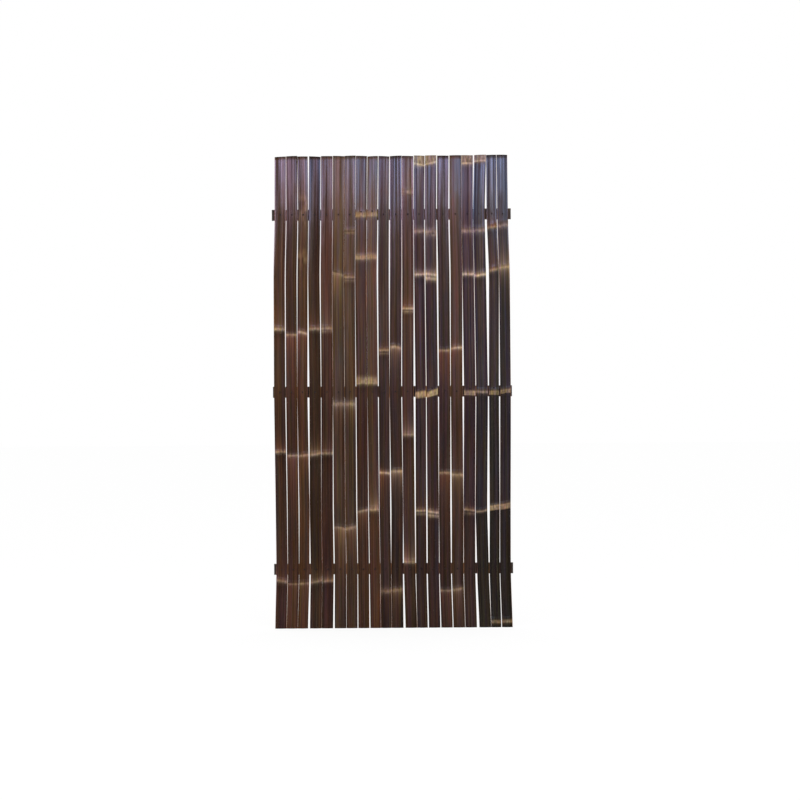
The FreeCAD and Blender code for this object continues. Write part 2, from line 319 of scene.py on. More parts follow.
# The slats, left to right: stain at the top and at the foot, and rings from the foot up.
SLAT_LOOKS = (
    ("chestnut", "umber", Ring("red_above", -4), Ring("thin_red_above", drop=-5), Ring("brown_above", -1)),
    ("walnut", "cinnamon", Ring("faint"), Ring("red_below", 1, drop=-5), Ring("red_below", drop=-4)),
    ("honey", "cinnamon", Ring("brown_below", 1), Ring("brown_below", 3), Ring("bright_below", -5, 3)),
    ("sepia", "sepia", Ring("gold_above", 5), Ring("gold_above", 4), Ring("thin_red_above")),
    ("chestnut", "umber", Ring("gold_above", 2), Ring("thin_red_above"), Ring("olive_above")),
    ("olive_brown", "olive", Ring("haze_below", -3, 3), Ring("soft_below"), Ring("haze_below", -6, 1)),
    (
        "olive_brown", "olive",
        Ring("olive_below", 5), Ring("soft_below"), Ring("double", -1), Ring("faint_double"),
    ),
    ("russet", "bark", Ring("brown_below", 4), Ring("gold_band", drop=6), Ring("band"), Ring("band")),
    ("fawn", "bark", Ring("tan_above", drop=4), Ring("gold_band", drop=8), Ring("band", 1), Ring("band")),
    ("grey_brown", "black_brown", Ring("dim", 0, -2), Ring("bright_below", -2), Ring("double")),
    ("grey_brown", "black_brown", Ring("soft_below", 2), Ring("tan_below", 1), Ring("tan_below", -3, 4)),
    ("russet", "red_brown", Ring("tan_above"), Ring("tan_above"), Ring("pale"), Ring("fawn_above", drop=-3)),
    (
        "plum", "aubergine", Ring("tan_double"), Ring("gold_hung", 3, drop=3),
        Ring("bright"), Ring("soft"), Ring("end_band", -6, drop=7),
    ),
    (
        "plum", "aubergine", Ring("pale_double", -3), Ring("gold_hung", 8, drop=3),
        Ring("bright_double", -3), Ring("soft_double", drop=-6), Ring("end_band", 6, drop=4),
    ),
    ("grey_brown", "brown", Ring("red_below"), Ring("red_below"), Ring("red_below")),
    ("russet", "red_brown", Ring("olive_below", 3), Ring("olive_below", drop=6), Ring("bright_below", 2, 2)),
    (
        "plum", "brown", Ring("double", -2), Ring("grey_hung", -1),
        Ring("bright"), Ring("soft"), Ring("end_band", drop=7),
    ),
    (
        "slate", "green_black", Ring("thin", 4, -3), Ring("grey_line", -1, drop=2),
        Ring("bright", 3), Ring("soft", 1), Ring("end_band", 2),
    ),
    (
        "slate", "green_black", Ring("foot_band", drop=5), Ring("gold_fading", 3, drop=-4),
        Ring("dim_hung"), Ring("red_above", 4), Ring("rust_above", 3),
    ),
    (
        "slate", "green_black", Ring("foot_band", drop=5), Ring("gold_fading", 5, drop=-1),
        Ring("dim_hung", 3), Ring("tan_both", 3), Ring("soft", 3, drop=5),
    ),
)
# How strong the sheen of each slat is, and how rosy rather than blue.
SLAT_SHEEN = (
    (1.6, 0.9), (0.95, 0.95), (1.2, 0.9), (1.1, 0.65), (1.0, 0.85), (0.55, 0.6), (1.1, 0.8), (0.75, 0.3),
    (0.8, 0.4), (0.65, 0.5), (1.3, 0.35), (1.1, 0.9), (0.68, 0.45), (1.2, 0.45), (1.2, 0.6), (0.65, 0.15),
    (0.65, 0.6), (1.0, 0.2), (1.45, 0.2), (1.0, 0.3),
)
# Golden patches on a slat, by its number: height and reach as shares of the panel.
PATCHES = {3: ((0.888, 0.032), (0.785, 0.016))}
BATTEN_STAINS = ("umber", "umber")
BATTEN_RING = Ring("tan", 1)
BATTEN_SHEEN = (0.6, 0.6)


# Paint of the rings

# The pale line lies a little below its node (mm), with a core and a soft skirt: strength, share of width.
LINE_DROP = 1.5
LINE_CORE = (0.68, 1.2)
LINE_SKIRT = (0.3, 3)
# How pale the skin is between the lines of a double ring, as a share of the second one.
ECHO_FILL = 0.5
# A band's foot reaches this much further down, and its edge is this soft (mm).
BAND_FOOT = 3.5
BAND_EDGE = 2
# A glow: its strength, how fast it falls over its reach, and the most that it covers.
GLOW_STRENGTH = 0.7
GLOW_FALL = 1.6
GLOW_MOST = 0.85
# The dark side of a ring begins this far below it, is full down to here, and fades over this reach (mm).
SHADE_BEGINS = 3
SHADE_FULL = 5
SHADE_REACH = 24
# Lines are patchy, with lengths in mm, and glows streaky.
LINE_PATCHES = Grain(step=0, cells=5, start=20, length=9, begin=7.5, mean=0.85, spread=0.4)
GLOW_STREAKS = Grain(step=40, cells=8, start=30, length=0.4, begin=9, mean=0.75, spread=0.5)
STREAK_MOST = 1.2
# Rings nearer to the ground than this are dimmer, down to a share.
GROUND_REACH = 0.26
GROUND_LEAST = 0.7


def pale_line(distance, width):
    """A pale line with a soft skirt."""
    (core, core_width), (skirt, skirt_width) = LINE_CORE, LINE_SKIRT
    return core * bump(distance, core_width * width) + skirt * bump(distance, skirt_width * width)


def ring_line(look, up):
    """How pale a ring is at a height over its node (mm): its line, its second line and its band."""
    over = up + LINE_DROP
    line = pale_line(over, look.width)
    if look.echo:
        line = np.maximum(line, look.second * pale_line(over - look.echo, look.width))
        inside = 1 - np.abs(over - look.echo / 2) / abs(look.echo / 2)
        line = np.maximum(line, ECHO_FILL * look.second * np.sqrt(np.clip(inside, 0, 1)))
    if look.band:
        fade = np.clip((look.band - look.hang - up) / (look.soft * look.band), 0, 1)
        foot = np.clip((up + look.hang + BAND_FOOT) / BAND_EDGE, 0, 1)
        line = np.maximum(line, look.fill * fade * foot)
    return line


def ring_paint(strip, rings, share, along, seed):
    """What the rings change: (pale lines and glows, as pairs of strength and colour; how much darker)."""
    dark = np.zeros(np.broadcast(share, along).shape)
    lines, glows = [], []
    for number, (node, mark) in enumerate(zip(strip.nodes, rings)):
        look = STYLES[mark.style]
        up = (along - node) / MM + mark.drop
        patchy = LINE_PATCHES.over(seed + number, share, up)
        clear = np.clip(node / GROUND_REACH, GROUND_LEAST, 1) if strip.upright else 1
        strength = np.clip(look.line * clear * ring_line(look, up) * patchy, 0, 1)
        lines.append((strength, linear(RING_TINTS[look.tint])))
        streaky = np.clip(GLOW_STREAKS.over(seed + number, share, along), 0, STREAK_MOST)
        for reach, side in ((look.above, up), (look.below, -up)):
            if reach:
                fall = np.exp(-np.clip(side, 0, None) / reach * GLOW_FALL)
                strength = GLOW_STRENGTH * fall * (side > -LINE_DROP)
                glow = linear(GLOWS[look.glow])
                glows.append((np.clip(clear * strength * streaky, 0, GLOW_MOST), glow))
        if not look.below:
            shade = look.shade * bump(np.clip(-up - SHADE_FULL, 0, None), SHADE_REACH)
            dark = np.maximum(dark, shade * (up < -SHADE_BEGINS))
    return lines, glows, dark


# Colours of skin and inside

# The share of a stain's change that steps from internode to internode, how much their tones vary, and how
# far apart in the noise their streaks are taken.
STEPPED_STAIN = 0.6
TONE_SPREAD = 0.08
INTERNODE_SHIFT = 7.3
# How much lighter or darker clouds and streaks make the skin.
SKIN_CLOUDS = Grain(step=1, cells=1.4, start=11, length=0.11, begin=5, spread=0.1)
SKIN_STREAKS = Grain(step=2, cells=4.5, start=3, length=0.6, spread=0.22)
# How far its hue drifts from streak to streak, in red, green and blue.
SKIN_WARMTH = Grain(step=3, cells=2.4, start=17, length=0.35, begin=31)
HUE_DRIFT = np.array([0.12, -0.02, -0.13])
# Painted shade darkens the skin towards its split edges, as the round skin turns away.
EDGE_SHADE = 0.3
EDGE_POWER = 4
# The skin is darker a little below the middle batten: by how much, and place and reach as shares.
MID_DARKENING = 0.2
MID_DARKENING_PLACE = 0.43
MID_DARKENING_REACH = 0.075
# Painted light makes the skin paler towards the foot of the slats, where the key light is weaker.
FOOT_PAINTED_LIGHT = 0.3
FOOT_PAINTED_LIGHT_REACH = 0.17
# A golden patch: how much it covers, and its strength.
PATCH_COVER = Grain(step=9, cells=3, start=0, length=0.02, mean=0.6)
PATCH_STRENGTH = 0.55
# The split edge, torn to bare wood: from which share of the half width, and how much.
TORN_FROM = 0.99
TORN = Grain(step=12, cells=3, start=40, length=0.06, mean=0.6, spread=0.6)
TORN_MOST = 0.85
# The skin is darker along the sawn end.
CUT_SHADE = 0.6
CUT_REACH = 6 * MM
DARKEST = 0.002
RING_SEED = 10


def skin_colours(strip, stains, rings, patches, share, along, seed):
    """Linear colours of the skin, with painted shade at its split edges and painted light towards the foot.
    """
    top, foot = (linear(STAINS[name]) for name in stains)
    bounds = np.concatenate([[strip.start], strip.nodes, [strip.end]])
    middles = (bounds[1:] + bounds[:-1]) / 2
    between = np.searchsorted(strip.nodes, along)
    length = strip.end - strip.start
    rise = ((along - strip.start) / length)[..., None]
    own = ((middles[between] - strip.start) / length)[..., None]
    colours = foot + (top - foot) * ((1 - STEPPED_STAIN) * rise + STEPPED_STAIN * own)
    tones = np.random.default_rng(seed).uniform(-TONE_SPREAD, TONE_SPREAD, len(strip.nodes) + 1)
    colours = colours * (1 + tones[between])[..., None]
    internode = between * INTERNODE_SHIFT
    cloud = SKIN_CLOUDS.over(seed, share, along)
    streak = SKIN_STREAKS.over(seed, share, along, internode)
    warm = SKIN_WARMTH.over(seed, share, along, internode)
    # Painted shade of the rounded skin towards its split edges.
    edge = EDGE_SHADE * np.abs(share) ** EDGE_POWER
    colours = colours * (1 + cloud + streak - edge)[..., None]
    colours = colours * (1 + warm[..., None] * HUE_DRIFT)
    if strip.upright:
        deep = MID_DARKENING * bump(rise[..., 0] - MID_DARKENING_PLACE, MID_DARKENING_REACH)
        # Painted light makes the skin paler towards the foot.
        colours = colours * ((1 + FOOT_PAINTED_LIGHT * bump(along, FOOT_PAINTED_LIGHT_REACH)) * (1 - deep))[..., None]
    lines, glows, dark = ring_paint(strip, rings, share, along, seed + RING_SEED)
    for height, reach in patches:
        cover = np.clip(PATCH_COVER.over(seed, share, along), 0, 1)
        spot = bump(rise[..., 0] - height, reach) * cover
        glows.append((PATCH_STRENGTH * spot, linear(GLOWS["gold"])))
    for strength, colour in glows:
        colours = colours + (colour - colours) * strength[..., None]
    cut = CUT_SHADE * bump(strip.end - along, CUT_REACH)
    colours = colours * ((1 - dark) * (1 - cut))[..., None]
    torn = np.clip(TORN.over(seed, np.sign(share), along), 0, TORN_MOST)
    lines.append((np.where(np.abs(share) > TORN_FROM, torn, 0), linear(BARE_EDGE)))
    for strength, colour in lines:
        colours = colours + (colour - colours) * strength[..., None]
    return np.clip(colours, DARKEST, 1)


# The bare inside: a strip's tone, drift of hue, painted shade with dirt in the hollow, and how much streaks
# and damp change it.
PITH_SEED = 14
PITH_TONES = (0.78, 1.22)
PITH_DRIFT = np.array([0.05, 0.0, -0.09])
HOLLOW_SHADE = 0.16
PITH_STREAKS = Grain(step=15, cells=3.2, start=8, length=0.5, spread=0.16)
PITH_DAMP = Grain(step=16, cells=1.3, start=4, length=0.13, spread=0.12)
# Its broken septums, pale and ragged, with painted shadow on both sides.
SEPTUM_REACH = 7 * MM
SEPTUM_SHADOW = 0.5
SEPTUM_SHADOW_WIDTH = 0.8 * SEPTUM_REACH
SEPTUM_LIGHT = Grain(step=17, cells=6, start=2, length=0.004, mean=0.45, spread=0.25)
SEPTUM_LIGHT_WIDTH = 0.55 * SEPTUM_REACH


def pith_tones(share, along, away, seed):
    """Factors for the colour of the bare inside: the strip's own tone, its streaks and septums, with painted
    shade in the hollow and painted shadow beside the septums.
    """
    random = np.random.default_rng(seed + PITH_SEED)
    own = random.uniform(*PITH_TONES)
    drift = random.uniform(-1, 1)
    streak = PITH_STREAKS.over(seed, share, along)
    damp = PITH_DAMP.over(seed, share, along)
    # Painted shade, with dirt, darkens the middle of the hollow.
    tone = own * (1 + streak + damp - HOLLOW_SHADE * (1 - share**2))
    # Painted shadow on both sides of the septum's stub.
    tone = tone * (1 - SEPTUM_SHADOW * bump(away - SEPTUM_REACH, SEPTUM_SHADOW_WIDTH))
    light = SEPTUM_LIGHT.over(seed, share, along)
    tone = tone * (1 + light * bump(away, SEPTUM_LIGHT_WIDTH))
    return tone[..., None] * (1 + drift * PITH_DRIFT)


# Shape of a strip

# Points round it: on the skin, with a narrow last step to each edge, on the inside, and on the split edges.
SKIN_POINTS = 19
EDGE_INNER = 0.94
PITH_POINTS = 11
EDGE_SHARES = (0.1, 0.5, 0.9)
# A node's ridge, scar and groove: share of the rise, place and reach. The top stays under the solid's.
RIDGE = (0.62, 3.2 * MM, 6.5 * MM)
SCAR = (0.45, -2 * MM, 1.3 * MM)
GROOVE = (0.22, -0.1 * MM, 1.0 * MM)
NODE_TOP = 0.97
# A slanted ring carries the skin along over this reach, and leaves room at the strip's ends.
SHEAR_REACH = 45 * MM
SHEAR_ROOM = 0.9
# The share of an arch that lifts a ring's middle; the rest lowers its edges.
ARCH_MIDDLE = 0.5
# Small dents of the skin between the nodes, and its worn corners with a torn fringe.
DENT_DEPTH = 0.12 * MM
DENTS = Grain(step=4, cells=2, start=9, length=0.05)
DENTS_CLEAR = 10 * MM
CORNER_WEAR = 0.35 * MM
CORNER_POWER = 14
FRINGE = Grain(step=5, cells=1, start=4, length=0.018, mean=0.6, spread=0.4)
FRINGE_WIDTH = 0.09 * MM
FRINGE_POWER = 10
# The septum's stub: how high it is and can be, as shares of the hollow's depth, and its reach.
STUB = Grain(step=6, cells=5, start=12, length=0.006, mean=0.42, spread=0.2)
STUB_LIMITS = (0.2, 0.55)
STUB_REACH = 3.4 * MM
# The rough inside and the ragged split edges.
ROUGH = Grain(step=7, cells=9, start=7, length=0.03)
ROUGH_DEPTH = 0.1 * MM
RAGS = Grain(step=8, cells=7, start=5, length=0.01)
RAG_DEPTH = 0.25 * MM
# The saw ran a little out of square.
SAW_SEED = 13
SAW_DROP = 2.6 * MM
SAW_SLANT = 1.3 * MM
SAW_REACH = 25 * MM
# The varnish is dull on the ridges and along the sawn end.
DULL_PLACE = 3 * MM
DULL_REACH = 11 * MM
DULL_CUT_REACH = 1.5 * CUT_REACH
# How far each seed moves a strip's grain through the materials' noise, across and along.
GRAIN_SHIFT = (0.37, 1.7)
SKIN_SLOT, PITH_SLOT, END_SLOT = range(3)
SHARP_ANGLE = math.radians(38)


def node_profile(distance, rise):
    """Height of a node over the skin: the sheath's sharp scar, a groove and the round ridge above it."""
    ridge, scar, groove = (
        share * bump(distance - place, reach) for share, place, reach in (RIDGE, SCAR, GROOVE)
    )
    return rise * np.clip(ridge + scar - groove, 0, NODE_TOP)


def ring_shear(strip, rings, share, along):
    """How far the rings' slant and arch carry the skin along the strip."""
    moved = np.zeros(np.broadcast(share, along).shape)
    for node, mark in zip(strip.nodes, rings):
        reach = min(SHEAR_REACH, SHEAR_ROOM * (node - strip.start), SHEAR_ROOM * (strip.end - node))
        window = np.clip(1 - ((along - node) / reach) ** 2, 0, 1) ** 2
        moved += window * (mark.slant * share + mark.arch * (ARCH_MIDDLE - share**2)) * MM
    return moved


def saw_cut(strip, across, along, seed):
    """How far the saw ran below the square end of a slat, spread over the last stretch of it."""
    if not strip.upright:
        return 0
    drop, slant = np.random.default_rng(seed + SAW_SEED).uniform((0, -1), (1, 1))
    cut = SAW_DROP * drop + SAW_SLANT * (abs(slant) + slant * across / strip.half)
    return cut * np.clip(1 - (strip.end - along) / SAW_REACH, 0, 1)


def strip_loops(strip, rings, skin, pith, along, away, height, seed):
    """The strip's sections as four stretches of (across, depth, along): skin, edge, inside and edge."""
    centre = strip.centre(along)
    depth = strip.edge + arc(skin, strip.half, strip.crown) + height
    dents = DENT_DEPTH * (1 + DENTS.over(seed, skin, along))
    depth = depth - dents * np.clip(away / DENTS_CLEAR, 0, 1) - CORNER_WEAR * np.abs(skin) ** CORNER_POWER
    torn = FRINGE.over(seed, np.zeros_like(along), along)
    fringe = FRINGE_WIDTH * torn * np.abs(skin) ** FRINGE_POWER
    skin_loop = (centre + skin * (strip.half + fringe), depth, along + ring_shear(strip, rings, skin, along))

    stub = np.clip(STUB.over(seed, pith, along), *STUB_LIMITS)
    open_share = 1 - stub * bump(away, STUB_REACH)
    rough = ROUGH_DEPTH * (1 + ROUGH.over(seed, pith, along)) * (1 - pith**2)
    pith_depth = open_share * arc(pith, strip.back_half, strip.hollow) + rough
    pith_loop = (centre + pith * strip.back_half, pith_depth, along)

    edges = np.array(EDGE_SHARES)[None, :]
    edge_half = strip.half + (strip.back_half - strip.half) * edges
    edge_depth = (strip.edge + height) * (1 - edges)
    ragged = np.abs(RAG_DEPTH * RAGS.over(seed, edges, along))
    right_loop = (centre + edge_half - ragged, edge_depth, along)
    left_loop = (centre - edge_half[:, ::-1] + ragged, edge_depth[:, ::-1], along)
    return skin_loop, right_loop, pith_loop, left_loop


def joined(loops):
    """The stretches of a section side by side, as whole arrays of across, depth and along."""
    shapes = [np.broadcast(*loop).shape for loop in loops]
    return (
        np.concatenate([np.broadcast_to(part, shape) for part, shape in zip(parts, shapes)], axis=1)
        for parts in zip(*loops)
    )


def tube_faces(rows, points):
    """Faces of a closed tube of rows of points: its quads row by row, and its two ends."""
    first = np.arange(rows - 1)[:, None] * points + np.arange(points)[None, :]
    second = np.roll(first, -1, axis=1)
    quads = np.stack([first, second, second + points, first + points], axis=-1).reshape(-1, 4)
    faces = [tuple(quad) for quad in quads.tolist()]
    faces.append(tuple(reversed(range(points))))
    faces.append(tuple(range((rows - 1) * points, rows * points)))
    return faces


def strip_object(strip, stains, rings, patches, sheen, seed, materials):
    """The strip as a closed mesh with its rings, worn edges, pith side and sawn ends."""
    along = strip.sections()[:, None]
    inner = np.linspace(-EDGE_INNER, EDGE_INNER, SKIN_POINTS - 2)
    skin = np.concatenate([[-1], inner, [1]])[None, :]
    pith = np.linspace(1, -1, PITH_POINTS)[None, :]
    distances = np.abs(along[..., None] - strip.nodes)
    away = np.min(distances, axis=-1)
    nearest = strip.nodes[np.argmin(distances, axis=-1)]
    height = node_profile(along - nearest, strip.node_rise)
    across, depth, along_all = joined(strip_loops(strip, rings, skin, pith, along, away, height, seed))
    rows, points = across.shape
    across_own = across - strip.centre(along)
    along_all = along_all - saw_cut(strip, across_own, along, seed)

    colours = np.ones((rows, points, 4))
    skin_all, along_skin = np.broadcast_arrays(skin, along)
    colours[:, :SKIN_POINTS, :3] = skin_colours(strip, stains, rings, patches, skin_all, along_skin, seed)
    inside = SKIN_POINTS + len(EDGE_SHARES)
    colours[:, inside : inside + PITH_POINTS, :3] = pith_tones(pith, along, away, seed)
    on_ridge = bump(along - nearest - DULL_PLACE, DULL_REACH)
    dull = np.maximum(on_ridge, bump(strip.end - along, DULL_CUT_REACH))
    shift_across, shift_along = GRAIN_SHIFT
    grain = np.stack([across_own + seed * shift_across, depth, along_all + seed * shift_along], axis=-1)

    mesh = bpy.data.meshes.new(f"{strip.node}_bamboo")
    corners = strip.world(across, depth, along_all).reshape(-1, 3)
    mesh.from_pydata(corners.tolist(), [], tube_faces(rows, points))
    of_skin = np.tile(np.arange(points) < SKIN_POINTS - 1, rows - 1)
    slots = np.concatenate([np.where(of_skin, SKIN_SLOT, PITH_SLOT), [END_SLOT, END_SLOT]])
    mesh.polygons.foreach_set("material_index", slots.astype(np.int32))
    shine, rosy = sheen
    for name, kind, values, field in (
        ("stain", "FLOAT_COLOR", colours, "color"),
        ("dull", "FLOAT", np.broadcast_to(dull, (rows, points)), "value"),
        ("shine", "FLOAT", np.full((rows, points), shine), "value"),
        ("rosy", "FLOAT", np.full((rows, points), rosy), "value"),
        ("grain", "FLOAT_VECTOR", grain, "vector"),
    ):
        attribute = mesh.attributes.new(name, kind, "POINT")
        attribute.data.foreach_set(field, values.astype(np.float32).ravel())
    for material in materials:
        mesh.materials.append(material)
    mesh.update()
    return finished(mesh)


def finished(mesh):
    """An object of the mesh in the scene, smooth but for its sharp edges."""
    mesh.polygons.foreach_set("use_smooth", np.ones(len(mesh.polygons), bool))
    mesh.set_sharp_from_angle(angle=SHARP_ANGLE)
    return linked(mesh.name, mesh)


def linked(name, data):
    thing = bpy.data.objects.new(name, data)
    bpy.context.scene.collection.objects.link(thing)
    return thing


# Node trees

# How rough noises are in themselves.
PLAIN_NOISE = 0.55
CLOUDY_NOISE = 0.65
RUSTY_NOISE = 0.7
# A mixing node's first inputs for values and for colours, and its output for colours.
MIXED_VALUES = 2
MIXED_COLOURS = 6
COLOUR_OUTPUT = 2


class Nodes:
    """A node tree, built link by link."""

    def __init__(self, tree):
        self.tree = tree

    def add(self, kind, settings=None, **inputs):
        """A node with its settings, and its inputs set or linked."""
        made = self.tree.nodes.new(kind)
        for name, value in (settings or {}).items():
            setattr(made, name, value)
        for name, value in inputs.items():
            self.put(made, name.replace("_", " "), value)
        return made

    def put(self, target, name, value):
        """Sets or links an input, given by its name or number."""
        socket = target.inputs[name]
        if isinstance(value, bpy.types.NodeSocket):
            self.tree.links.new(value, socket)
        else:
            socket.default_value = value

    def put_all(self, target, values, first=0):
        """Sets or links several inputs in a row."""
        for number, value in enumerate(values, start=first):
            self.put(target, number, value)

    def spread(self, value, ranges, smooth=False):
        """The value, mapped from one range to another."""
        source, target = ranges
        mapped = self.add("ShaderNodeMapRange", {"interpolation_type": "SMOOTHSTEP" if smooth else "LINEAR"})
        self.put_all(mapped, (value, *source, *target))
        return mapped.outputs[0]

    def math(self, operation, first, second):
        made = self.add("ShaderNodeMath", {"operation": operation})
        self.put_all(made, (first, second))
        return made.outputs[0]

    def product(self, *values):
        """All the values multiplied, from the first on."""
        result, *others = values
        for value in others:
            result = self.math("MULTIPLY", result, value)
        return result


class Surface(Nodes):
    """A material with a surface shader."""

    def __init__(self, name):
        self.material = bpy.data.materials.new(name)
        self.material.use_nodes = True
        super().__init__(self.material.node_tree)
        self.shader = self.tree.nodes["Principled BSDF"]

    def set(self, **inputs):
        for name, value in inputs.items():
            self.put(self.shader, name.replace("_", " "), value)

    def bumped(self, height, bump_sizes):
        """Bump from a height, with its strength and its distance."""
        strength, distance = bump_sizes
        made = self.add("ShaderNodeBump", Strength=strength, Distance=distance, Height=height)
        self.put(self.shader, "Normal", made.outputs[0])

    def attribute(self, name, output="Fac"):
        return self.add("ShaderNodeAttribute", {"attribute_name": name}).outputs[output]

    def stretched(self, vector, scale):
        """A vector stretched by three factors."""
        placed = self.add("ShaderNodeVectorMath", {"operation": "MULTIPLY"})
        self.put_all(placed, (vector, scale))
        return placed.outputs[0]

    def stretched_noise(self, vector, scale, detail, rough=PLAIN_NOISE):
        """Noise over a vector stretched by three factors, about 0 to 1."""
        placed = self.stretched(vector, scale)
        made = self.add("ShaderNodeTexNoise", Vector=placed, Scale=1.0, Detail=detail, Roughness=rough)
        return made.outputs["Fac"]

    def mix(self, share, first, second, blend="MIX"):
        """Two colours mixed."""
        made = self.add("ShaderNodeMix", {"data_type": "RGBA", "blend_type": blend})
        self.put(made, 0, share)
        self.put_all(made, (first, second), first=MIXED_COLOURS)
        return made.outputs[COLOUR_OUTPUT]

    def times(self, first, second):
        """Two colours multiplied."""
        return self.mix(1.0, first, second, blend="MULTIPLY")

    def grey(self, value):
        made = self.add("ShaderNodeCombineColor")
        self.put_all(made, (value, value, value))
        return made.outputs[0]


# Materials

# Noises have cells to the metre across, deep and along the grain. Pairs of ranges map values to effects.
FULL = (0, 1)

BROAD_STREAKS = (330, 330, 3.2)
BROAD_LIGHT = ((0.28, 0.72), (0.62, 1.38))
BROAD_GLOSS = ((0.3, 0.7), (0.4, 1.0))
BROAD_RELIEF = (FULL, (0, 0.6))
FINE_STREAKS = (1500, 1500, 16)
FINE_LIGHT = ((0.25, 0.75), (0.8, 1.2))
LONG_STREAKS = (150, 150, 1.5)
LONG_LIGHT = ((0.36, 0.64), (0.8, 1.2))
LONG_GLOSS = ((0.38, 0.62), (0.05, 1.0))
HUE_CLOUDS = (55, 55, 11)
HUE_MIX = ((0.35, 0.65), FULL)
CLOUD_ROUGHNESS = ((0.3, 0.7), (0.09, 0.14))
TONE_STREAKS = (190, 190, 2.1)
TONE_MIX = ((0.36, 0.64), FULL)
FLECKS = (520, 520, 260)
FLECK_COVER = ((0.7, 0.8), (0, 0.35))
WORN_ROUGHNESS = (FULL, (0, 0.45))
WORN_GLOSS = (FULL, (1, 0.1))
SHEEN_STREAKS = (70, 70, 1.2)
SHEEN_DRIFT = ((0.36, 0.64), (-0.4, 0.4))
SKIN_BUMP = (0.25, 0.25 * MM)
# Factors for the skin's colour where it is warmer, cooler, more olive or more violet.
WARM = (1.15, 0.98, 0.87, 1)
COOL = (0.92, 1.0, 1.11, 1)
OLIVE = (1.05, 1.07, 0.75, 1)
VIOLET = (1.02, 0.9, 1.25, 1)
# Tints of its sheen.
BLUE_SHEEN = (0.52, 0.93, 1.0, 1)
ROSY_SHEEN = (1.0, 0.8, 0.76, 1)

FIBRES = (900, 900, 9)
FIBRE_LIGHT = ((0.25, 0.75), (0.66, 1.28))
FIBRE_ROUGHNESS = (FULL, (0.62, 0.86))
PITH_CLOUDS = (70, 70, 14)
PITH_MIX = ((0.3, 0.7), FULL)
PITH_BUMP = (0.6, 0.4 * MM)

BUNDLES = (1300, 1300, 0)
BUNDLE_EDGE = ((0.18, 0.36), FULL)
SAW_MARKS = (120, 900, 0)
SAW_MIX = ((0.3, 0.7), FULL)
SAW_ROUGHNESS = (FULL, (0.6, 0.8))
END_BUMP = (0.5, 0.3 * MM)

RUST_SPOTS = (420, 420, 420)
RUST_COVER = ((0.5, 0.68), FULL)
IRON_PITS = (1400, 1400, 1400)
IRON_ROUGHNESS = (FULL, (0.42, 0.85))
IRON_METAL = (FULL, (0.9, 0.1))
IRON_BUMP = (0.5, 0.2 * MM)


def skin_material():
    """Varnished bamboo skin: the painted stain with fine streaks along the culm, duller on the rings."""
    skin = Surface("bamboo_skin")
    grain = skin.attribute("grain", "Vector")
    worn = skin.attribute("dull")
    broad = skin.stretched_noise(grain, BROAD_STREAKS, detail=4)
    fine = skin.stretched_noise(grain, FINE_STREAKS, detail=2)
    long = skin.stretched_noise(grain, LONG_STREAKS, detail=2)
    cloud = skin.stretched_noise(grain, HUE_CLOUDS, detail=5, rough=CLOUDY_NOISE)
    tone = skin.stretched_noise(grain, TONE_STREAKS, detail=3)
    fleck = skin.stretched_noise(grain, FLECKS, detail=1)
    sheen = skin.stretched_noise(grain, SHEEN_STREAKS, detail=4)

    light = skin.product(
        skin.spread(broad, BROAD_LIGHT), skin.spread(fine, FINE_LIGHT), skin.spread(long, LONG_LIGHT),
    )
    colour = skin.times(skin.attribute("stain", "Color"), skin.grey(light))
    warmth = skin.spread(cloud, HUE_MIX)
    colour = skin.mix(warmth, skin.times(colour, COOL), skin.times(colour, WARM))
    greenness = skin.spread(tone, TONE_MIX)
    colour = skin.mix(greenness, skin.times(colour, VIOLET), skin.times(colour, OLIVE))
    colour = skin.mix(skin.spread(fleck, FLECK_COVER), colour, opaque(FLECK))
    rough = skin.math("ADD", skin.spread(cloud, CLOUD_ROUGHNESS), skin.spread(worn, WORN_ROUGHNESS))
    gloss = skin.product(
        skin.spread(broad, BROAD_GLOSS), skin.spread(long, LONG_GLOSS),
        skin.spread(worn, WORN_GLOSS), skin.attribute("shine"),
    )
    rosy = skin.math("ADD", skin.spread(sheen, SHEEN_DRIFT), skin.attribute("rosy"))
    tint = skin.mix(rosy, BLUE_SHEEN, ROSY_SHEEN)
    skin.bumped(skin.math("ADD", fine, skin.spread(broad, BROAD_RELIEF)), SKIN_BUMP)
    skin.set(Base_Color=colour, Roughness=rough, Specular_IOR_Level=gloss, Specular_Tint=tint)
    return skin.material


def pith_material(name, pale, brown):
    """The bare inside and the split edges: pulled fibres, matt."""
    pith = Surface(name)
    grain = pith.attribute("grain", "Vector")
    fibre = pith.stretched_noise(grain, FIBRES, detail=4)
    cloud = pith.stretched_noise(grain, PITH_CLOUDS, detail=5, rough=CLOUDY_NOISE)
    colour = pith.mix(pith.spread(cloud, PITH_MIX), opaque(pale), opaque(brown))
    colour = pith.times(colour, pith.grey(pith.spread(fibre, FIBRE_LIGHT)))
    colour = pith.times(colour, pith.attribute("stain", "Color"))
    pith.bumped(fibre, PITH_BUMP)
    pith.set(Base_Color=colour, Roughness=pith.spread(fibre, FIBRE_ROUGHNESS))
    return pith.material


def end_material():
    """Sawn end grain: dark fibre bundles in a paler ground, with saw marks."""
    end = Surface("bamboo_end")
    grain = end.attribute("grain", "Vector")
    cells = end.add("ShaderNodeTexVoronoi", Vector=end.stretched(grain, BUNDLES), Scale=1.0)
    saw = end.stretched_noise(grain, SAW_MARKS, detail=3)
    ground = end.mix(end.spread(saw, SAW_MIX), *(opaque(colour) for colour in END_GROUND))
    edge = end.spread(cells.outputs["Distance"], BUNDLE_EDGE)
    end.bumped(saw, END_BUMP)
    end.set(Base_Color=end.mix(edge, opaque(END_BUNDLES), ground), Roughness=end.spread(saw, SAW_ROUGHNESS))
    return end.material


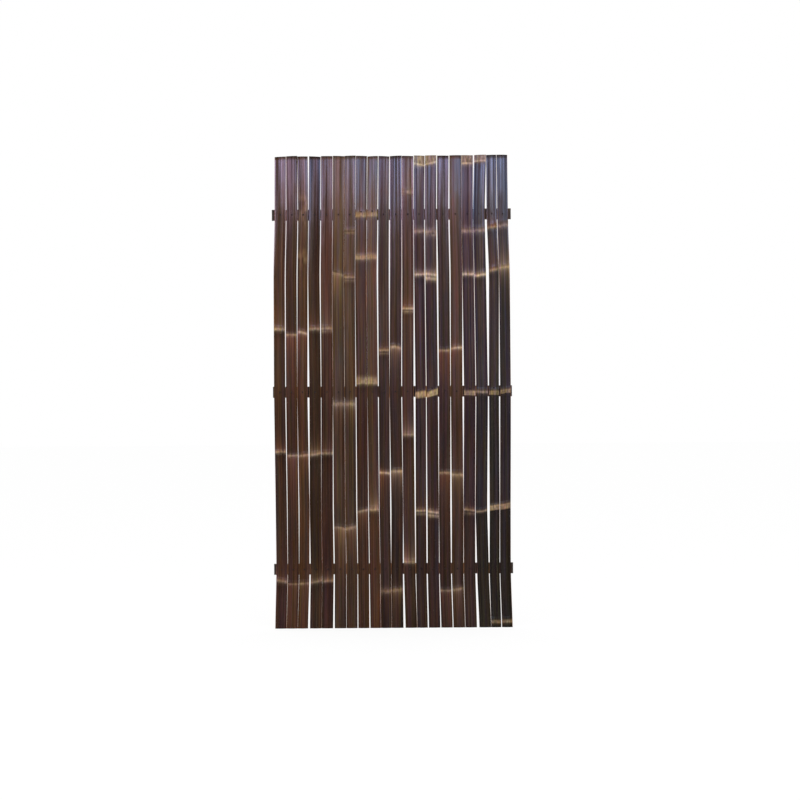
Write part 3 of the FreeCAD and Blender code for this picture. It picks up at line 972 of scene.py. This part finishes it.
def iron_material():
    """Black forged iron with a little rust."""
    iron = Surface("nail_iron")
    place = iron.add("ShaderNodeTexCoord").outputs["Object"]
    spots = iron.stretched_noise(place, RUST_SPOTS, detail=5, rough=RUSTY_NOISE)
    pits = iron.stretched_noise(place, IRON_PITS, detail=2)
    rust = iron.spread(spots, RUST_COVER)
    iron.bumped(pits, IRON_BUMP)
    iron.set(Base_Color=iron.mix(rust, opaque(IRON), opaque(RUST)))
    iron.set(Roughness=iron.spread(rust, IRON_ROUGHNESS), Metallic=iron.spread(rust, IRON_METAL))
    return iron.material


# Nails

NAIL_SIDES = 16
# Loops of a head from the middle out: share of the half side, depth below its face and dents (mm), the
# share and dents of its underside, and how far its corners reach.
HEAD_LOOPS = ((0.42, 0.02, 0.1), (0.72, 0.12, 0.12), (0.93, 0.4, 0.05), (0.995, 0.8, 0.02))
HEAD_UNDER = (0.96, 0.02)
HEAD_CORNER = 1.24
# The half sides of the shank and of its point as shares of the head's, and the point's length.
SHANK_SHARE = 0.46
POINT_SHARE = 0.25 * SHANK_SHARE
POINT_LENGTH = 4 * MM
# Corners of the solids are told apart at this many decimals.
DECIMALS = 5


def nails_object(node, material, seed):
    """A group of forged nails: each head hammered and worn round, each shank drawn to a point."""
    points = np.array([vertex.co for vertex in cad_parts[node].data.vertices])
    front, tip = points[:, 1].min(), points[:, 1].max()
    under = np.unique(points[:, 1].round(DECIMALS))[1]
    heads = points[np.isclose(points[:, 1], front, atol=SAME_PLANE)]
    corners = np.unique(heads.round(DECIMALS), axis=0)
    corners = corners[np.argsort(corners[:, 0])].reshape(-1, 4, 3)
    turn = np.linspace(0, 2 * math.pi, NAIL_SIDES, endpoint=False) + math.pi / NAIL_SIDES
    square = 1 / np.maximum(np.abs(np.cos(turn)), np.abs(np.sin(turn)))
    under_share, under_dents = HEAD_UNDER
    head_loops = [(share, front + depth * MM, dents * MM) for share, depth, dents in HEAD_LOOPS]
    head_loops.append((under_share, under, under_dents * MM))
    shank_loops = ((SHANK_SHARE, under), (SHANK_SHARE, tip - POINT_LENGTH), (POINT_SHARE, tip))
    *quads, front_end, back_end = tube_faces(len(head_loops) + len(shank_loops), NAIL_SIDES)
    tube = [(a, d, c, b) for a, b, c, d in quads] + [front_end[::-1], back_end[::-1]]
    random = np.random.default_rng(seed)
    vertices, faces = [], []
    for nail in corners:
        middle = nail.mean(axis=0)
        side = np.ptp(nail[:, 0]) / 2
        dents = random.uniform(0, 1, (len(head_loops), NAIL_SIDES))
        rings = [
            (side * share * np.minimum(square, HEAD_CORNER), depth + low * dent)
            for (share, depth, dent), low in zip(head_loops, dents)
        ]
        rings += [(side * share * square, np.full(NAIL_SIDES, depth)) for share, depth in shank_loops]
        start = len(vertices)
        for reach, depth in rings:
            places = (middle[0] + reach * np.cos(turn), depth, middle[2] + reach * np.sin(turn))
            vertices += np.stack(places, axis=-1).tolist()
        faces += [tuple(start + corner for corner in face) for face in tube]
    mesh = bpy.data.meshes.new(f"{node}_forged")
    mesh.from_pydata(vertices, [], faces)
    mesh.materials.append(material)
    return finished(mesh)


# The panel

# Axes across and along a strip, the way its skin faces, and seeds.
UPRIGHT = (0, 2)
LEVEL = (2, 0)
SKIN_TO_FRONT = -1
SKIN_TO_BACK = 1
SLAT_SEED = 100
BATTEN_SEED = 400
NAIL_SEED = 500
SEED_STEP = 7
COURSES = ("lower", "middle", "upper")


def dress_panel():
    """Every slat, batten and group of nails."""
    skin = skin_material()
    end = end_material()
    slat_materials = (skin, pith_material("bamboo_pith", *SLAT_PITH), end)
    batten_materials = (skin, pith_material("batten_pith", *BATTEN_PITH), end)
    iron = iron_material()
    for number, ((top, foot, *rings), sheen) in enumerate(zip(SLAT_LOOKS, SLAT_SHEEN), start=1):
        node = f"slat_{number:02d}"
        strip = Strip(node, UPRIGHT, SKIN_TO_FRONT)
        patches = PATCHES.get(number, ())
        seed = SLAT_SEED + SEED_STEP * number
        piece = strip_object(strip, (top, foot), rings, patches, sheen, seed, slat_materials)
        place(piece, node, "slat_bamboo")
    for number, course in enumerate(COURSES):
        node = f"{course}_batten"
        strip = Strip(node, LEVEL, SKIN_TO_BACK)
        rings = [BATTEN_RING] * len(strip.nodes)
        seed = BATTEN_SEED + SEED_STEP * number
        piece = strip_object(strip, BATTEN_STAINS, rings, (), BATTEN_SHEEN, seed, batten_materials)
        place(piece, node, "batten_bamboo")
    for number, course in enumerate(COURSES):
        node = f"{course}_nails"
        place(nails_object(node, iron, NAIL_SEED + number), node, "nail_iron")


def place(piece, node, slot):
    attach(piece, "root")
    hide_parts(node)


# Studio

FLOOR_REACH = 30
FLOOR_COLOUR = (0.96, 0.96, 0.96, 1)
FLOOR_ROUGHNESS = 0.9
# The share of the floor's look to the camera that is plain white, and not lit.
FLOOR_WHITE = 0.88
# The world's light all round, and the dim part of it low behind the camera, by its direction.
DOME_LEVEL = 1.1
FRONT_LEVEL = 0.02
FRONT_RANGE = (-0.7, -0.35)
LOW_RANGE = (0.45, 0.85)
# The varnish and the iron mirror a white backdrop behind the panel.
BEHIND_RANGE = (0, 0.1)
# The large soft key light high in front, whose own image isn't mirrored.
LIGHTS_AWAY = 6.8
KEY_SIZE = (12, 2.6)
KEY_FOOT = 3.4
KEY_RADIANCE = (3.7, 3.7, 3.7)
# Two strips of skylight that are only mirrored, along the top of the panel: foot, height, colour.
SKY_WIDTH = 16
SKY_STRIPS = ((2.36, 0.16, (3.4, 2.8, 3.6)), (2.52, 0.8, (3.5, 3.4, 6.0)))
FACING_PANEL = math.radians(90)


def make_floor():
    """A pale floor that stays white to the camera and still takes the panel's shadow."""
    low, high = -FLOOR_REACH, FLOOR_REACH
    mesh = bpy.data.meshes.new("floor")
    mesh.from_pydata([(low, low, 0), (high, low, 0), (high, high, 0), (low, high, 0)], [], [(0, 1, 2, 3)])
    floor = linked("floor", mesh)
    floor.visible_glossy = False
    pale = Surface("floor_white")
    pale.set(Base_Color=FLOOR_COLOUR, Roughness=FLOOR_ROUGHNESS, Specular_IOR_Level=0.0)
    white = pale.add("ShaderNodeEmission", Strength=1.0)
    rays = pale.add("ShaderNodeLightPath").outputs
    seen = pale.math("MAXIMUM", rays["Is Camera Ray"], rays["Is Transmission Ray"])
    blend = pale.add("ShaderNodeMixShader")
    share = pale.math("MULTIPLY", seen, FLOOR_WHITE)
    pale.put_all(blend, (share, pale.shader.outputs[0], white.outputs[0]))
    pale.put(pale.tree.nodes["Material Output"], "Surface", blend.outputs[0])
    mesh.materials.append(pale.material)


def make_world():
    """A white studio: bright all round, darker behind the camera, white wherever the camera looks."""
    world = bpy.data.worlds.new("studio")
    bpy.context.scene.world = world
    world.use_nodes = True
    sky = Nodes(world.node_tree)
    parts = sky.add("ShaderNodeSeparateXYZ")
    sky.put(parts, 0, sky.add("ShaderNodeTexCoord").outputs["Generated"])
    front = sky.spread(parts.outputs["Y"], (FRONT_RANGE, (1, 0)), smooth=True)
    low = sky.spread(parts.outputs["Z"], (LOW_RANGE, (1, 0)), smooth=True)
    behind = sky.spread(parts.outputs["Y"], (BEHIND_RANGE, FULL), smooth=True)
    level = sky.spread(sky.product(front, low), (FULL, (DOME_LEVEL, FRONT_LEVEL)), smooth=True)
    rays = sky.add("ShaderNodeLightPath").outputs
    mirrored = sky.math("MAXIMUM", rays["Is Glossy Ray"], rays["Is Transmission Ray"])
    seen = sky.math("MAXIMUM", rays["Is Camera Ray"], sky.product(mirrored, behind))
    strength = sky.add("ShaderNodeMix")
    sky.put(strength, 0, seen)
    sky.put_all(strength, (level, 1.0), first=MIXED_VALUES)
    background = sky.tree.nodes["Background"]
    sky.put(background, "Color", (1, 1, 1, 1))
    sky.put(background, "Strength", strength.outputs[0])


def make_lamp(name, size, foot, radiance):
    """An upright lamp that faces the panel."""
    width, tall = size
    level = max(radiance)
    lamp = bpy.data.lights.new(name, "AREA")
    lamp.shape = "RECTANGLE"
    lamp.size = width
    lamp.size_y = tall
    lamp.energy = level * math.pi * width * tall
    lamp.color = [share / level for share in radiance]
    light = linked(name, lamp)
    light.location = (0, -LIGHTS_AWAY, foot + tall / 2)
    light.rotation_euler = (FACING_PANEL, 0, 0)
    light.visible_camera = False
    return light


def make_lamps():
    key = make_lamp("key", KEY_SIZE, KEY_FOOT, KEY_RADIANCE)
    key.visible_glossy = False
    for number, (foot, tall, radiance) in enumerate(SKY_STRIPS, start=1):
        sky = make_lamp(f"sky_{number}", (SKY_WIDTH, tall), foot, radiance)
        sky.visible_diffuse = False


# The photograph: its side, the panel's height and centre in it, in pixels, and the panel's slight turn.
IMAGE_SIDE = 800
PANEL_PIXELS = 473
PANEL_CENTRE = (392.5, 391.5)
PANEL_TURN = math.radians(0.38)
LENS = 85
SENSOR = 36


def make_camera():
    """The photograph's view: the panel square on, as tall, placed and turned as it is there."""
    low, high = cad_box
    pixel = (high.z - low.z) / PANEL_PIXELS
    camera = bpy.data.cameras.new("camera")
    camera.lens = LENS
    camera.sensor_width = SENSOR
    right, down = ((IMAGE_SIDE / 2 - centre) * pixel for centre in PANEL_CENTRE)
    away = IMAGE_SIDE * pixel * LENS / SENSOR
    seen = linked("camera", camera)
    seen.location = ((low.x + high.x) / 2 + right, low.y - away, (low.z + high.z) / 2 - down)
    seen.rotation_euler = (FACING_PANEL, PANEL_TURN, 0)
    bpy.context.scene.camera = seen


dress_panel()
make_floor()
make_world()
make_lamps()
make_camera()
bpy.context.scene.view_settings.view_transform = "Standard"
